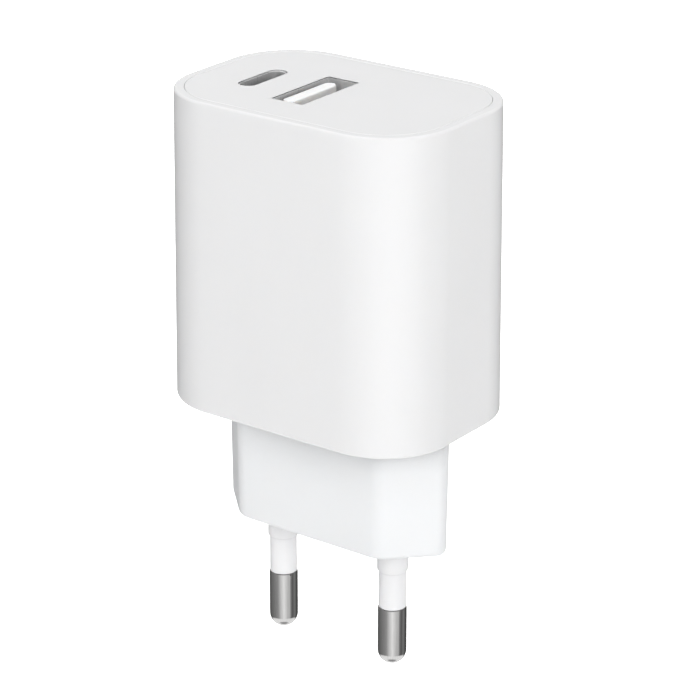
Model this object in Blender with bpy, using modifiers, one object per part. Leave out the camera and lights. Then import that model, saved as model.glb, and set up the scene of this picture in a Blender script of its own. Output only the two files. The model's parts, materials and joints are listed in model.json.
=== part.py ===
"""A two-pin wall charger with an upright USB-A and an upright USB-C port in its top panel.

Frame: the origin is the centre of the plug's engagement face, +Z runs from the pins towards the
ports, +X along the casing's long side, and -Y is its front. Sizes below are in millimetres and
are turned into metres where the meshes are made.
"""

import math

import bmesh
import bpy
from mathutils import Matrix, Vector

MM = 0.001
GAP = 0.15  # between neighbouring pieces

# Casing
CASING_LENGTH, CASING_DEPTH, CASING_HEIGHT = 42.0, 29.0, 43.4
CASING_CORNER = 10.0
CASING_FLARE = 0.28  # how much wider each side is at the bottom
WALL = 2.0
RIM = 1.4  # width of the rim around the port panel
TOP_EDGE, BOTTOM_EDGE = 0.6, 0.3
PANEL_THICKNESS = 1.9
SKIRT_WALL, SKIRT_HEIGHT = 1.0, 3.1

# Plug
NOSE_LENGTH, NOSE_DEPTH, NOSE_HEIGHT = 35.8, 13.7, 18.5
NOSE_CHAMFER = 6.15
NOSE_FLARE = 0.22  # how much wider each side of the nose is where it meets the casing
NOSE_WALL = 1.8
FACE_THICKNESS = 3.0
PIN_X = 9.45
PIN_RADIUS, PIN_LENGTH = 2.0, 18.6
SLEEVE_RADIUS, SLEEVE_LENGTH = 1.9, 9.9
COLLAR_RADIUS, COLLAR_LENGTH = 2.14, 4.3
CORE_RADIUS = 1.5  # the pin inside its sleeve
SHANK_RADIUS = 1.1  # the pin above its head
HEAD_RADIUS, HEAD_HEIGHT = 2.4, 2.0
SLEEVE_TOP = FACE_THICKNESS + 1.4
HEAD_Z = SLEEVE_TOP + GAP
FLANGE_LIP, FLANGE_HEIGHT = 0.9, 1.5

# Ports
USB_A_AT, USB_C_AT = (-2.65, -1.2), (-11.75, -0.7)
USB_A_MOUTH, USB_C_MOUTH = (5.12, 12.5), (2.56, 8.34)
USB_A_CORNER = 0.3
USB_C_OPENING = (2.7, 8.9)  # the panel's own opening over the smaller port
SHEET = 0.3  # thickness of a receptacle's metal shell
LIP = 0.35  # thickness of the panel over the shells
MOUTH_EDGE = 0.12  # bevel of the panel round both ports
TONGUE_THICKNESS, TONGUE_WIDTH = 1.84, 10.3
TONGUE_BACK = USB_A_AT[0] - USB_A_MOUTH[0] / 2 + 0.72
TONGUE_FRONT = TONGUE_BACK + TONGUE_THICKNESS
CONTACT_Y = tuple(USB_A_AT[1] + offset for offset in (-3.5, -1.0, 1.0, 3.5))
CONTACT_WIDTH, CONTACT_SHEET = 1.0, 0.2
CONTACT_ROOT_X, CONTACT_ROOT_Z = TONGUE_FRONT - 0.72, 53.5
USB_C_BLADE = (0.7, 6.68)

# Boards
BOARD_Y = (7.4, 8.6)
PORT_BOARD_Z = (49.4, 50.6)

FLOOR = NOSE_HEIGHT
TOP = NOSE_HEIGHT + CASING_HEIGHT
PANEL_BOTTOM = TOP - PANEL_THICKNESS
MOUNT_Z = PORT_BOARD_Z[1] + GAP  # where the parts on the port board stand

ROUND_STEPS = 16
SMOOTH_ANGLE = math.radians(35)
WELD = 1e-6
AXIS_TURN = {
    "X": Matrix.Rotation(math.pi / 2, 4, "Y"),
    "Y": Matrix.Rotation(-math.pi / 2, 4, "X"),
    "Z": Matrix.Identity(4),
}
# Turns that stand a flat outline up: the outline's own x and y become the two axes left over.
OUTLINE_TURN = {
    "X": Matrix(((0, 0, 1, 0), (1, 0, 0, 0), (0, 1, 0, 0), (0, 0, 0, 1))),
    "Y": Matrix(((1, 0, 0, 0), (0, 0, -1, 0), (0, 1, 0, 0), (0, 0, 0, 1))),
    "Z": Matrix.Identity(4),
}

for old in list(bpy.data.objects):
    bpy.data.objects.remove(old, do_unlink=True)


def collection(name):
    made = bpy.data.collections.new(name)
    bpy.context.scene.collection.children.link(made)
    return made


PARTS = collection("usb_wall_charger")
TOOLS = collection("cutters")


def material(name, colour, roughness, metallic=0.0):
    made = bpy.data.materials.new(name)
    made.use_nodes = True
    shader = made.node_tree.nodes["Principled BSDF"]
    shader.inputs["Base Color"].default_value = (*colour, 1.0)
    shader.inputs["Roughness"].default_value = roughness
    shader.inputs["Metallic"].default_value = metallic
    return made


CASING_WHITE = material("casing_white", (0.86, 0.86, 0.87), 0.38)
PLUG_WHITE = material("plug_white", (0.85, 0.87, 0.89), 0.42)
SLEEVE_WHITE = material("sleeve_white", (0.90, 0.90, 0.91), 0.45)
TONGUE_WHITE = material("tongue_white", (0.88, 0.88, 0.88), 0.45)
NICKEL = material("nickel", (0.55, 0.53, 0.51), 0.28, 1.0)
SHELL_STEEL = material("shell_steel", (0.50, 0.50, 0.51), 0.30, 1.0)
GOLD = material("gold_plated_bronze", (0.80, 0.62, 0.30), 0.30, 1.0)
BRASS = material("brass", (0.72, 0.55, 0.27), 0.35, 1.0)
BOARD_GREEN = material("board_green", (0.04, 0.20, 0.08), 0.50)
CHIP_BLACK = material("chip_black", (0.02, 0.02, 0.02), 0.60)
DARK_PLASTIC = material("dark_plastic", (0.03, 0.03, 0.03), 0.50)
FERRITE = material("ferrite", (0.06, 0.06, 0.065), 0.70)
COPPER = material("copper_wire", (0.60, 0.24, 0.10), 0.40, 1.0)
TAPE_YELLOW = material("tape_yellow", (0.85, 0.62, 0.05), 0.50)
CAN_ALUMINIUM = material("can_aluminium", (0.62, 0.62, 0.63), 0.40, 1.0)
SEAL_RUBBER = material("seal_rubber", (0.03, 0.03, 0.03), 0.80)
DISC_BLUE = material("disc_blue", (0.03, 0.12, 0.45), 0.45)
DISC_GREEN = material("disc_green", (0.05, 0.25, 0.15), 0.45)
CERAMIC = material("fuse_ceramic", (0.75, 0.72, 0.66), 0.55)
SPREADER_ALUMINIUM = material("spreader_aluminium", (0.70, 0.70, 0.71), 0.45, 1.0)
PAD_GREY = material("pad_grey", (0.40, 0.42, 0.45), 0.85)
SHEET_FILM = material("insulation_film", (0.75, 0.72, 0.60), 0.50)


def place(name, mesh, look):
    """Puts a finished mesh in the parts, or in the cutters if it has no material."""
    obj = bpy.data.objects.new(name, mesh)
    if look is None:
        TOOLS.objects.link(obj)
        obj.hide_render = True
        obj.display_type = "WIRE"
        return obj
    mesh.materials.append(look)
    mesh.shade_smooth()
    mesh.set_sharp_from_angle(angle=SMOOTH_ANGLE)
    PARTS.objects.link(obj)
    return obj


def to_mesh(name, bm):
    bmesh.ops.recalc_face_normals(bm, faces=bm.faces)
    mesh = bpy.data.meshes.new(name)
    bm.to_mesh(mesh)
    bm.free()
    return mesh


def block(name, low, high, look=None, edge=0.0):
    """A box between two corners, with its edges chamfered by edge."""
    low, high = Vector(low) * MM, Vector(high) * MM
    bm = bmesh.new()
    bmesh.ops.create_cube(bm, size=1.0)
    bmesh.ops.scale(bm, vec=high - low, verts=bm.verts)
    if edge:
        bmesh.ops.bevel(bm, geom=list(bm.edges), offset=edge * MM, segments=1, affect="EDGES")
    obj = place(name, to_mesh(name, bm), look)
    obj.location = (low + high) / 2
    return obj


def rounded_block(name, size, corner, z_range, look=None, flare=0.0, edges=(0.0, 0.0)):
    """A block with rounded upright corners, wider by flare at the bottom, with rounded rims."""
    length, depth = size
    low, high = z_range
    bm = bmesh.new()
    bmesh.ops.create_cube(bm, size=1.0)
    bmesh.ops.scale(bm, vec=(length * MM, depth * MM, (high - low) * MM), verts=bm.verts)
    for vert in bm.verts:
        if vert.co.z < 0:
            vert.co.x += math.copysign(flare * MM, vert.co.x)
            vert.co.y += math.copysign(flare * MM, vert.co.y)
    upright = [e for e in bm.edges if e.verts[0].co.z * e.verts[1].co.z < 0]
    bmesh.ops.bevel(bm, geom=upright, offset=corner * MM, segments=7, profile=0.5, affect="EDGES")
    for side, width in zip((-1, 1), edges):
        rim = [e for e in bm.edges if all(v.co.z * side > 0 for v in e.verts)]
        if width:
            bmesh.ops.bevel(bm, geom=rim, offset=width * MM, segments=2, profile=0.5, affect="EDGES")
    obj = place(name, to_mesh(name, bm), look)
    obj.location.z = (low + high) / 2 * MM
    return obj


def filleted(corners, radii, steps):
    """The points of a closed outline whose corners are rounded by the given radii."""
    points = []
    for i, radius in enumerate(radii):
        corner = Vector(corners[i])
        back = (Vector(corners[i - 1]) - corner).normalized()
        ahead = (Vector(corners[(i + 1) % len(corners)]) - corner).normalized()
        half = back.angle(ahead) / 2
        centre = corner + (back + ahead).normalized() * radius / math.sin(half)
        start = corner + back * radius / math.tan(half) - centre
        turn = math.pi - 2 * half
        if back.x * ahead.y - back.y * ahead.x > 0:
            turn = -turn
        for step in range(steps + 1):
            points.append(centre + Matrix.Rotation(turn * step / steps, 2) @ start)
    return points


def rectangle(length, depth, radius, centre=(0, 0), steps=3):
    x, y = length / 2, depth / 2
    corners = [(-x, -y), (x, -y), (x, y), (-x, y)]
    points = filleted(corners, [radius] * 4, steps)
    return [p + Vector(centre) for p in points]


def slot_outline(width, length, centre):
    """A slot with fully rounded ends, its length along Y."""
    return rectangle(width, length, width / 2 - 0.01, centre, 6)


def nose_outline(grow=0.0):
    """The plug's flattened hexagon: two wide faces, four sloping ones and two narrow ends."""
    x, y = NOSE_LENGTH / 2 + grow, NOSE_DEPTH / 2 + grow
    slope = min(NOSE_CHAMFER + grow * (2 - math.sqrt(2)), y - 0.5)
    corners = [(x - slope, -y), (x, slope - y), (x, y - slope), (x - slope, y)]
    corners += [(-cx, -cy) for cx, cy in corners]
    return filleted(corners, [3.0, 0.8, 0.8, 3.0] * 2, 3)


def strip(path, thickness):
    """The outline of a strip of even thickness that follows a path of points."""
    path = [Vector(p) for p in path]
    left, right = [], []
    for i, point in enumerate(path):
        before = (point - path[max(i - 1, 0)]).normalized()
        after = (path[min(i + 1, len(path) - 1)] - point).normalized()
        along = (before + after).normalized()
        side = Vector((-along.y, along.x)) * thickness / 2
        side /= max(along.dot(after or along), along.dot(before or along))
        left.append(point + side)
        right.append(point - side)
    return left + right[::-1]


def plate(name, outline, span, look=None, axis="Z"):
    """A flat outline, pulled out along an axis from span[0] to span[1]."""
    curve = bpy.data.curves.new(name, "CURVE")
    curve.dimensions = "2D"
    curve.fill_mode = "BOTH"
    curve.extrude = (span[1] - span[0]) / 2 * MM
    spline = curve.splines.new("POLY")
    spline.points.add(len(outline) - 1)
    for point, co in zip(spline.points, outline):
        point.co = (co[0] * MM, co[1] * MM, 0, 1)
    spline.use_cyclic_u = True
    source = bpy.data.objects.new(name + "_curve", curve)
    middle = {"X": (1, 0, 0), "Y": (0, 1, 0), "Z": (0, 0, 1)}[axis]
    shift = Matrix.Translation(Vector(middle) * sum(span) / 2 * MM)
    source.matrix_world = shift @ OUTLINE_TURN[axis]
    PARTS.objects.link(source)
    bpy.context.view_layer.update()
    mesh = bpy.data.meshes.new_from_object(source.evaluated_get(bpy.context.evaluated_depsgraph_get()))
    bm = bmesh.new()
    bm.from_mesh(mesh)
    bmesh.ops.remove_doubles(bm, verts=bm.verts, dist=WELD)
    obj = place(name, to_mesh(name, bm), look)
    obj.matrix_world = source.matrix_world
    bpy.data.objects.remove(source, do_unlink=True)
    return obj


def turned(name, profile, at, look=None, axis="Z", ring=False, steps=ROUND_STEPS):
    """A profile of (radius, height) points turned about an axis; a ring's profile is a closed loop."""
    mesh = bpy.data.meshes.new(name)
    points = [(radius * MM, 0, height * MM) for radius, height in profile]
    edges = [(i, i + 1) for i in range(len(points) - 1)]
    if ring:
        edges.append((len(points) - 1, 0))
    mesh.from_pydata(points, edges, [])
    obj = place(name, mesh, look)
    screw = obj.modifiers.new("turn", "SCREW")
    screw.axis = "Z"
    screw.steps = screw.render_steps = steps
    screw.use_merge_vertices = True
    screw.merge_threshold = 1e-5
    screw.use_smooth_shade = True
    obj.matrix_world = Matrix.Translation(Vector(at) * MM) @ AXIS_TURN[axis]
    return obj


def rod(name, radius, span, at, look=None, axis="Z", steps=ROUND_STEPS):
    low, high = span
    profile = [(0, high), (radius, high), (radius, low), (0, low)]
    return turned(name, profile, at, look, axis, steps=steps)


def disc(name, radius, thickness, at, look, axis):
    """A dipped disc: a flat round body with a rounded rim."""
    half, soft = thickness / 2, thickness / 4
    profile = [
        (0, half),
        (radius - soft, half),
        (radius, half - soft),
        (radius, soft - half),
        (radius - soft, -half),
        (0, -half),
    ]
    return turned(name, profile, at, look, axis)


def change(target, tool, operation):
    modifier = target.modifiers.new(tool.name, "BOOLEAN")
    modifier.operation = operation
    modifier.solver = "EXACT"
    modifier.object = tool


def cut(target, *tools):
    for tool in tools:
        change(target, tool, "DIFFERENCE")


def join(target, *tools):
    for tool in tools:
        change(target, tool, "UNION")


# ---------------------------------------------------------------- casing


def main_shell():
    """A tub with a slot in its floor for the plug and a recessed seat for the port panel."""
    shell = rounded_block(
        "main_shell",
        (CASING_LENGTH, CASING_DEPTH),
        CASING_CORNER,
        (FLOOR, TOP),
        CASING_WHITE,
        CASING_FLARE,
        (BOTTOM_EDGE, TOP_EDGE),
    )
    inside = (CASING_LENGTH - 2 * WALL, CASING_DEPTH - 2 * WALL)
    seat = (CASING_LENGTH - 2 * RIM, CASING_DEPTH - 2 * RIM)
    seat_z = PANEL_BOTTOM - GAP
    cavity = (FLOOR + WALL, seat_z + 1)
    cut(
        shell,
        rounded_block("cavity", inside, CASING_CORNER - WALL, cavity, flare=CASING_FLARE),
        rounded_block("panel_seat", seat, CASING_CORNER - RIM, (seat_z, TOP + 2)),
        plate("plug_slot", nose_outline(NOSE_FLARE + GAP), (FLOOR - 2, FLOOR + WALL + 1)),
    )


def port_panel():
    """The top panel: a plate flush with the rim, and a skirt that grips the casing's wall."""
    inset = RIM + GAP
    size = (CASING_LENGTH - 2 * inset, CASING_DEPTH - 2 * inset)
    panel = rounded_block(
        "port_panel", size, CASING_CORNER - inset, (PANEL_BOTTOM, TOP), CASING_WHITE
    )
    grip = WALL + GAP
    hollow = grip + SKIRT_WALL
    skirt_size = (CASING_LENGTH - 2 * grip, CASING_DEPTH - 2 * grip)
    hollow_size = (CASING_LENGTH - 2 * hollow, CASING_DEPTH - 2 * hollow)
    skirt_z = (PANEL_BOTTOM - SKIRT_HEIGHT, PANEL_BOTTOM + 0.5)
    hollow_z = (PANEL_BOTTOM - SKIRT_HEIGHT - 1, PANEL_BOTTOM)
    through, pocket_z = (PANEL_BOTTOM - 1, TOP + 1), (PANEL_BOTTOM - 1, TOP - LIP)
    pocket_a, pocket_c = (
        [side + 2 * SHEET + 2 * GAP for side in mouth] for mouth in (USB_A_MOUTH, USB_C_MOUTH)
    )
    join(panel, rounded_block("skirt", skirt_size, CASING_CORNER - grip, skirt_z))
    cut(
        panel,
        rounded_block("skirt_hollow", hollow_size, CASING_CORNER - hollow, hollow_z),
        plate("usb_a_hole", rectangle(*USB_A_MOUTH, USB_A_CORNER, USB_A_AT), through),
        plate("usb_a_pocket", rectangle(*pocket_a, 0.5, USB_A_AT), pocket_z),
        plate("usb_c_hole", slot_outline(*USB_C_OPENING, USB_C_AT), through),
        plate("usb_c_pocket", slot_outline(*pocket_c, USB_C_AT), pocket_z),
        mouth_edge("usb_a_edge", USB_A_MOUTH, USB_A_CORNER, USB_A_AT),
        mouth_edge("usb_c_edge", USB_C_OPENING, USB_C_OPENING[0] / 2 - 0.01, USB_C_AT),
    )


def mouth_edge(name, mouth, corner, at):
    """A cutter that bevels the panel round a port's mouth."""
    grown = [side + 2 * MOUTH_EDGE for side in mouth]
    outline = rectangle(*grown, corner + MOUTH_EDGE, at, 6)
    cutter = plate(name, outline, (TOP - MOUTH_EDGE, TOP + 0.1))
    middle = Vector((at[0] * MM, at[1] * MM, 0))
    for vert in cutter.data.vertices:
        if vert.co.z < 0:
            offset = vert.co - middle
            vert.co.x -= offset.x * MOUTH_EDGE * 2 / grown[0]
            vert.co.y -= offset.y * MOUTH_EDGE * 2 / grown[1]
    return cutter


# ---------------------------------------------------------------- plug


def plug_base():
    """The hollow six-sided nose, with a flange that keeps it in the casing's floor."""
    flange_z = FLOOR + WALL + GAP
    base = plate("plug_base", nose_outline(), (0, NOSE_HEIGHT), PLUG_WHITE)
    for vert in base.data.vertices:
        if vert.co.z > 0:
            vert.co.x *= 1 + 2 * NOSE_FLARE / NOSE_LENGTH
            vert.co.y *= 1 + 2 * NOSE_FLARE / NOSE_DEPTH
    neck = plate("nose_neck", nose_outline(NOSE_FLARE - 0.05), (NOSE_HEIGHT - 1, flange_z + 0.5))
    bores = [
        rod(f"pin_bore_{side}", COLLAR_RADIUS + 0.1, (-1, FACE_THICKNESS + 1), (side * PIN_X, 0, 0))
        for side in (-1, 1)
    ]
    flange = plate("flange", nose_outline(FLANGE_LIP), (flange_z, flange_z + FLANGE_HEIGHT))
    join(base, neck, flange)
    cut(base, plate("nose_hollow", nose_outline(-NOSE_WALL), (FACE_THICKNESS, flange_z + 3)), *bores)


def pin_set(side, x):
    """One pin with its sleeve and the strip that carries its current up to the board."""
    joint = -SLEEVE_LENGTH - 0.1
    tip = PIN_LENGTH
    dome = [(math.sin(a), math.cos(a)) for a in (math.radians(d) for d in (20, 45, 70))]
    bottom = [(PIN_RADIUS * s, -tip + PIN_RADIUS * (1 - c)) for s, c in reversed(dome)]
    shank_top, head_top = 10.2, HEAD_Z + HEAD_HEIGHT
    profile = [(0, shank_top), (SHANK_RADIUS, shank_top), (SHANK_RADIUS, head_top)]
    profile += [(HEAD_RADIUS, head_top), (HEAD_RADIUS, HEAD_Z), (CORE_RADIUS, HEAD_Z)]
    profile += [(CORE_RADIUS, joint), (PIN_RADIUS - 0.15, joint)]
    profile += [(PIN_RADIUS, joint - 0.15), (PIN_RADIUS, PIN_RADIUS - tip)] + bottom + [(0, -tip)]
    turned(f"pin_{side}", profile, (x, 0, 0), NICKEL)

    bore, collar_top = CORE_RADIUS + 0.08, FACE_THICKNESS + 0.1
    sleeve = [(bore, SLEEVE_TOP), (3.2, SLEEVE_TOP), (3.2, collar_top)]
    sleeve += [(COLLAR_RADIUS, collar_top), (COLLAR_RADIUS, -COLLAR_LENGTH)]
    sleeve += [(SLEEVE_RADIUS, -COLLAR_LENGTH), (SLEEVE_RADIUS, -SLEEVE_LENGTH), (bore, -SLEEVE_LENGTH)]
    turned(f"pin_sleeve_{side}", sleeve, (x, 0, 0), SLEEVE_WHITE, ring=True)

    tab_z, rise_y, board_z, half_width = head_top + 2.5, 4.3, 24.6, 1.75
    path = [(-2.2, tab_z), (rise_y, tab_z), (rise_y, board_z), (BOARD_Y[0] - 0.3, board_z)]
    span = (x - half_width, x + half_width)
    terminal = plate(f"terminal_{side}", strip(path, 0.4), span, BRASS, "X")
    hole = rod(f"shank_hole_{side}", SHANK_RADIUS + 0.1, (tab_z - 1, tab_z + 1), (x, 0, 0))
    cut(terminal, hole)


def pin_retainer():
    """The plate inside the nose that holds both pins down."""
    low = HEAD_Z + HEAD_HEIGHT + GAP
    retainer = plate("pin_retainer", nose_outline(-NOSE_WALL - 0.2), (low, low + 2), PLUG_WHITE)
    for side in (-1, 1):
        at = (side * PIN_X, 0, 0)
        cut(retainer, rod(f"retainer_hole_{side}", SHANK_RADIUS + GAP, (low - 1, low + 3), at))


# ---------------------------------------------------------------- ports


def mounting_tabs(shell, name, at, length, size):
    """Two tabs that carry a receptacle's shell down through the port board."""
    half_width, half_sheet = size
    for side in (-1, 1):
        y = at[1] + side * (length + SHEET) / 2
        low = (at[0] - half_width, y - half_sheet, PORT_BOARD_Z[0] - 0.6)
        high = (at[0] + half_width, y + half_sheet, MOUNT_Z + 1)
        join(shell, block(f"{name}_{side}", low, high))


def usb_a_port():
    """An upright USB-A receptacle: shell, moulded tongue, four sprung contacts and their legs."""
    width, length = USB_A_MOUTH
    outer = rectangle(width + 2 * SHEET, length + 2 * SHEET, 0.5, USB_A_AT)
    inner = rectangle(width, length, USB_A_CORNER, USB_A_AT)
    shell = plate("usb_a_shell", outer, (MOUNT_Z, TOP - LIP - GAP), SHELL_STEEL)
    cut(shell, plate("usb_a_mouth", inner, (MOUNT_Z - 1, TOP)))
    mounting_tabs(shell, "usb_a_tab", USB_A_AT, length, (0.8, 0.12))

    base = rectangle(width - 0.2, length - 0.2, 0.2, USB_A_AT)
    insulator = plate("usb_a_insulator", base, (MOUNT_Z, MOUNT_Z + 1.9), TONGUE_WHITE)
    low = (TONGUE_BACK, USB_A_AT[1] - TONGUE_WIDTH / 2, MOUNT_Z + 1)
    high = (TONGUE_FRONT, USB_A_AT[1] + TONGUE_WIDTH / 2, TOP - 0.3)
    join(insulator, block("usb_a_tongue", low, high, edge=0.3))
    half = CONTACT_WIDTH / 2 + GAP
    for i, y in enumerate(CONTACT_Y, 1):
        low = (TONGUE_FRONT - 1.15, y - half, MOUNT_Z - 1)
        high = (TONGUE_FRONT + 0.1, y + half, TOP - 1.8)
        cut(insulator, block(f"contact_groove_{i}", low, high))
        contact_pair(i, y)


def contact_pair(number, y):
    """A sprung leaf that bows out of the tongue, hinged at its root, and its fixed solder leg."""
    half_width, half_sheet = CONTACT_WIDTH / 2, CONTACT_SHEET / 2
    low = (CONTACT_ROOT_X - half_sheet, y - half_width, PORT_BOARD_Z[0] - 0.6)
    high = (CONTACT_ROOT_X + half_sheet, y + half_width, CONTACT_ROOT_Z - 0.2)
    block(f"usb_a_leg_{number}", low, high, GOLD)
    path = [
        (0, -0.05),
        (0.35, 2.3),
        (0.95, 4.45),
        (1.05, 4.8),
        (0.95, 5.15),
        (0.45, 6.0),
    ]
    outline, span = strip(path, CONTACT_SHEET), (-half_width, half_width)
    leaf = plate(f"usb_a_contact_{number}", outline, span, GOLD, "Y")
    leaf.location = (CONTACT_ROOT_X * MM, y * MM, CONTACT_ROOT_Z * MM)


def usb_c_port():
    """An upright USB-C receptacle: drawn shell with two tabs, and a moulded tongue."""
    width, length = USB_C_MOUTH
    outer = slot_outline(width + 2 * SHEET, length + 2 * SHEET, USB_C_AT)
    shell = plate("usb_c_shell", outer, (MOUNT_Z, TOP - LIP - GAP), SHELL_STEEL)
    cut(shell, plate("usb_c_mouth", slot_outline(width, length, USB_C_AT), (MOUNT_Z - 1, TOP + 1)))
    mounting_tabs(shell, "usb_c_tab", USB_C_AT, length, (0.5, 0.1))
    base = slot_outline(width - 0.2, length - 0.2, USB_C_AT)
    tongue = plate("usb_c_tongue", base, (MOUNT_Z, MOUNT_Z + 3.8), DARK_PLASTIC)
    half_thickness, half_width = (side / 2 for side in USB_C_BLADE)
    low = (USB_C_AT[0] - half_thickness, USB_C_AT[1] - half_width, MOUNT_Z + 2)
    high = (USB_C_AT[0] + half_thickness, USB_C_AT[1] + half_width, TOP - 0.9)
    join(tongue, block("usb_c_blade", low, high, edge=0.15))


# ---------------------------------------------------------------- boards and chips


def boards():
    block("main_board", (-17.3, BOARD_Y[0], 23.5), (17.3, BOARD_Y[1], 56.5), BOARD_GREEN)
    low, high = PORT_BOARD_Z
    board = block("port_board", (-17.4, -9, low), (6, BOARD_Y[0] - 0.2, high), BOARD_GREEN)
    for i, y in enumerate(CONTACT_Y, 1):
        cut(board, slot(f"leg_hole_{i}", CONTACT_ROOT_X, y, 0.5, 1.3))
    tab_holes = (("a", USB_A_AT, USB_A_MOUTH, 2.0), ("c", USB_C_AT, USB_C_MOUTH, 1.4))
    for name, at, mouth, wide in tab_holes:
        for side in (-1, 1):
            y = at[1] + side * (mouth[1] + SHEET) / 2
            cut(board, slot(f"usb_{name}_tab_hole_{side}", at[0], y, wide, 0.7))
    block("board_link", (-16.4, 5.0, MOUNT_Z), (-6.4, 7.1, MOUNT_Z + 2.3), DARK_PLASTIC, 0.2)
    block("port_controller", (1.6, -2.0, MOUNT_Z), (5.2, 2.0, MOUNT_Z + 0.9), CHIP_BLACK, 0.1)


def slot(name, x, y, size_x, size_y):
    low, high = PORT_BOARD_Z
    half_x, half_y = size_x / 2, size_y / 2
    return block(name, (x - half_x, y - half_y, low - 1), (x + half_x, y + half_y, high + 1))


def chips():
    """The parts on the main board's rear face."""
    rear = BOARD_Y[1] + GAP
    block("rectifier", (-4.2, rear, 26.0), (3.6, rear + 2.2, 31.0), CHIP_BLACK, 0.2)
    block("switch_chip", (6.0, rear, 34.0), (11.0, rear + 1.5, 38.0), CHIP_BLACK, 0.1)
    block("output_rectifier", (-13.0, rear, 44.0), (-8.0, rear + 1.5, 48.0), CHIP_BLACK, 0.1)
    block("opto_coupler", (-3.4, rear, 36.0), (1.2, rear + 2.1, 42.5), CHIP_BLACK, 0.15)
    block("insulation_sheet", (-13.4, 11.6, 24.0), (13.4, 11.85, 55.5), SHEET_FILM)


# ---------------------------------------------------------------- power parts

TRANSFORMER = (-6.5, -1.0, 39.5)


def transformer():
    """An E-core transformer lying along X: two ferrite halves, bobbin, winding and tape."""
    x, y, z = TRANSFORMER
    reach, high, back, outer, centre = 9.0, 7.5, 3.0, 2.6, 2.3
    for side, name in ((-1, "left"), (1, "right")):
        end, root, meet = side * reach, side * (reach - back), side * 0.06
        half = [(end, 0), (end, high), (meet, high), (meet, high - outer), (root, high - outer)]
        half += [(root, centre), (meet, centre)]
        outline = [(x + px, z + pz) for px, pz in half[1:]]
        outline += [(x + px, z - pz) for px, pz in half[:0:-1]]
        plate(f"core_{name}", outline, (y - 4, y + 4), FERRITE, "Y")

    tube_z, tube_y = centre + 0.75, 4.8
    low = (x - 5.7, y - tube_y, z - tube_z)
    bobbin = block("bobbin", low, (x + 5.7, y + tube_y, z + tube_z), DARK_PLASTIC)
    for side in (-1, 1):
        edge = x + side * 5.3
        low = (edge - 0.4, y - 7.1, z - 4.75)
        join(bobbin, block(f"flange_{side}", low, (edge + 0.4, y + 7.1, z + 4.75)))
    low = (x - 7, y - 4.15, z - centre - GAP)
    cut(bobbin, block("core_hole", low, (x + 7, y + 4.15, z + centre + GAP)))

    span = (x - 4.8, x + 4.8)
    around = rectangle(13.4, 9.2, 2.5, (y, z), 3)
    winding = plate("winding", around, span, COPPER, "X")
    inner = rectangle(2 * tube_y + 0.3, 2 * tube_z + 0.3, 0.3, (y, z), 1)
    cut(winding, plate("winding_hole", inner, (span[0] - 1, span[1] + 1), axis="X"))

    wrap = 0.35
    tape = rectangle(2 * (reach + wrap), 2 * (high + wrap), 0.5, (x, z), 1)
    inside = rectangle(2 * reach + 0.3, 2 * high + 0.3, 0.2, (x, z), 1)
    band = plate("transformer_tape", tape, (y - 2.5, y + 2.5), TAPE_YELLOW, "Y")
    cut(band, plate("tape_hole", inside, (y - 4, y + 4), axis="Y"))


def bulk_capacitor(number, z):
    """A radial can standing on the board along -Y, closed by a rubber bung."""
    radius, skin, length = 5.0, 0.4, 16.0
    mouth = BOARD_Y[0] - 0.5
    at = (12.1, mouth, z)
    profile = [
        (0, skin - length),
        (radius - skin, skin - length),
        (radius - skin, 0),
        (radius, 0),
        (radius, -1.8),
        (radius - 0.3, -2.1),
        (radius, -2.4),
        (radius, 0.4 - length),
        (radius - 0.4, -length),
        (0, -length),
    ]
    turned(f"bulk_capacitor_{number}", profile, at, CAN_ALUMINIUM, "Y")
    rod(f"capacitor_seal_{number}", radius - skin - GAP, (-1.9, -0.1), at, SEAL_RUBBER, "Y")


def small_parts():
    front = BOARD_Y[0] - GAP
    fuse_y = front - 1.9
    fuse = [(0, 4.0), (1.8, 4.0), (1.8, 2.6), (1.6, 2.5), (1.6, -2.5), (1.8, -2.6), (1.8, -4.0), (0, -4.0)]
    turned("fuse", fuse, (-12.4, fuse_y, 29.2), CERAMIC, "X")
    disc("varistor", 3.4, 2.2, (-6.8, front - 3.6, 27.8), DISC_GREEN, "X")
    disc("safety_capacitor", 3.4, 2.8, (3.9, front - 3.6, 27.8), DISC_BLUE, "X")
    choke_at = (-1.6, front - 0.2, 27.5)
    waist, flange = 1.5, 3.1
    drum = [(0, 0), (flange, 0), (flange, -1.2), (waist, -1.2), (waist, -6.8), (flange, -6.8)]
    turned("choke_core", drum + [(flange, -8.0), (0, -8.0)], choke_at, FERRITE, "Y")
    coil = [(waist + 0.1, -1.35), (2.8, -1.35), (2.8, -6.65), (waist + 0.1, -6.65)]
    turned("choke_winding", coil, choke_at, COPPER, "Y", ring=True)
    can = [(0, 0), (4.0, 0), (4.0, -1.6), (3.75, -1.9), (4.0, -2.2), (4.0, -10.7), (3.7, -11), (0, -11)]
    turned("output_capacitor", can, (12.4, front - 0.3, 51.8), CAN_ALUMINIUM, "Y")


def heat_path():
    block("heat_spreader", (-13.0, -11.4, 25.0), (5.0, -10.8, 47.0), SPREADER_ALUMINIUM)
    x, _, z = TRANSFORMER
    block("thermal_pad", (x - 4.5, -10.65, z - 4.5), (x + 4.5, -8.35, z + 4.5), PAD_GREY, 0.2)


main_shell()
port_panel()
plug_base()
pin_retainer()
pin_set("left", -PIN_X)
pin_set("right", PIN_X)
usb_a_port()
usb_c_port()
boards()
chips()
transformer()
bulk_capacitor(1, 29.6)
bulk_capacitor(2, 40.4)
small_parts()
heat_path()
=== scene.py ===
"""The looks of a two-pin USB wall charger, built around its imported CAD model.

Sizes are in millimetres, like the model's, and are turned into metres where meshes are made.
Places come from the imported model's own boxes.
"""

import json
import math

import bmesh
import bpy
from mathutils import Matrix, Vector


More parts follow.
